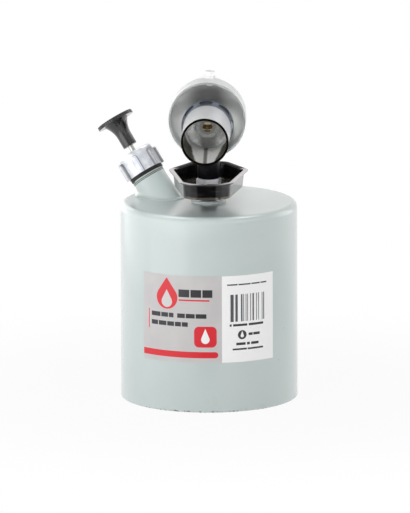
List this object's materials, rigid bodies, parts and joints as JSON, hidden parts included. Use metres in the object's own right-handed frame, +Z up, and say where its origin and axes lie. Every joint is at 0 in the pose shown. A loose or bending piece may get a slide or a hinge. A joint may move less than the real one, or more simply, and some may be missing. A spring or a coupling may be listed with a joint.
{
  "type": "petrol blowlamp",
  "caption": "Petrol blowlamp: round tank with rear grip, hand pump in a leaning filler neck, priming pan, needle valve, and a hooded chrome flame tube.",
  "frame": {"origin": "middle of the tank's foot rim, on the surface that it stands on", "axes": "+Z up along the tank's axis; the flame tube points along -Y, the grip is at +Y, and the pump leans towards -X"},
  "size_m": [0.1475, 0.2085, 0.2452],
  "materials": {
    "tank_paint": "satin enamel, pale grey-green",
    "hood_paint": "satin enamel, neutral grey",
    "black_chrome": "dark bright plating",
    "chrome_plate": "bright plating, brushed inside",
    "dark_steel": "blackened steel",
    "cast_metal": "dark casting",
    "zinc_plate": "bright zinc plating",
    "cap_metal": "bright die casting",
    "brass": "turned brass",
    "black_plastic": "moulded, satin",
    "black_rubber": "matt",
    "leather": "oiled"
  },
  "bodies": {
    "root": {"tank_shell": "tank_paint", "tank_bottom": "tank_paint", "filler_neck": "tank_paint", "burner_boss": "tank_paint", "dip_tube": "brass", "fuel_strainer": "brass", "riser_tube": "dark_steel", "priming_pan": "black_chrome", "pan_nut": "zinc_plate", "burner_body": "cast_metal", "gland_packing": "black_rubber", "gland_nut": "brass", "wind_hood": "hood_paint", "hood_screw": "zinc_plate", "hood_nut": "zinc_plate", "spacer_sleeve": "zinc_plate", "flame_tube": "chrome_plate", "tube_nut": "zinc_plate", "jet_nozzle": "brass", "handle_bracket": "tank_paint", "grip_inner": "black_plastic", "grip_outer": "black_plastic", "handle_screws": "zinc_plate", "handle_nuts": "zinc_plate"},
    "gasket": {"cap_gasket": "black_rubber"},
    "pump_unit": {"pump_cap": "cap_metal", "rod_guide": "brass", "pump_barrel": "brass", "foot_valve_body": "brass", "foot_valve_plug": "brass"},
    "plunger": {"pump_rod": "zinc_plate", "pump_knob": "black_plastic", "piston_cup": "leather", "piston_washers": "zinc_plate", "piston_nut": "zinc_plate"},
    "foot_ball": {"foot_valve_ball": "zinc_plate"},
    "spindle": {"valve_spindle": "zinc_plate"},
    "wheel": {"handwheel": "black_plastic", "handwheel_nut": "zinc_plate"}
  },
  "joints": [
    {"name": "pump_lift", "type": "slide", "parent": "root", "child": "gasket", "axis": [-0.5133, 0.2394, 0.8241], "range_m": [0, 0.09]},
    {"name": "cap_turn", "type": "hinge", "parent": "gasket", "child": "pump_unit", "pos_m": [-0.03625, 0.0169, 0.1455], "axis": [-0.5133, 0.2394, 0.8241], "range_deg": [0, 1080]},
    {"name": "pump_stroke", "type": "slide", "parent": "pump_unit", "child": "plunger", "axis": [-0.5133, 0.2394, 0.8241], "range_m": [0, 0.05]},
    {"name": "foot_valve_lift", "type": "slide", "parent": "pump_unit", "child": "foot_ball", "axis": [-0.5133, 0.2394, 0.8241], "range_m": [0, 0.0012]},
    {"name": "spindle_screw", "type": "slide", "parent": "root", "child": "spindle", "axis": [0, 1, 0], "range_m": [0, 0.0015]},
    {"name": "wheel_turn", "type": "hinge", "parent": "spindle", "child": "wheel", "pos_m": [0, 0, 0.2051], "axis": [0, 1, 0], "range_deg": [0, 540]}
  ],
  "couplings": [
    {"joint": "wheel_turn", "follows": "spindle_screw", "rad_per_m": 6283}
  ]
}
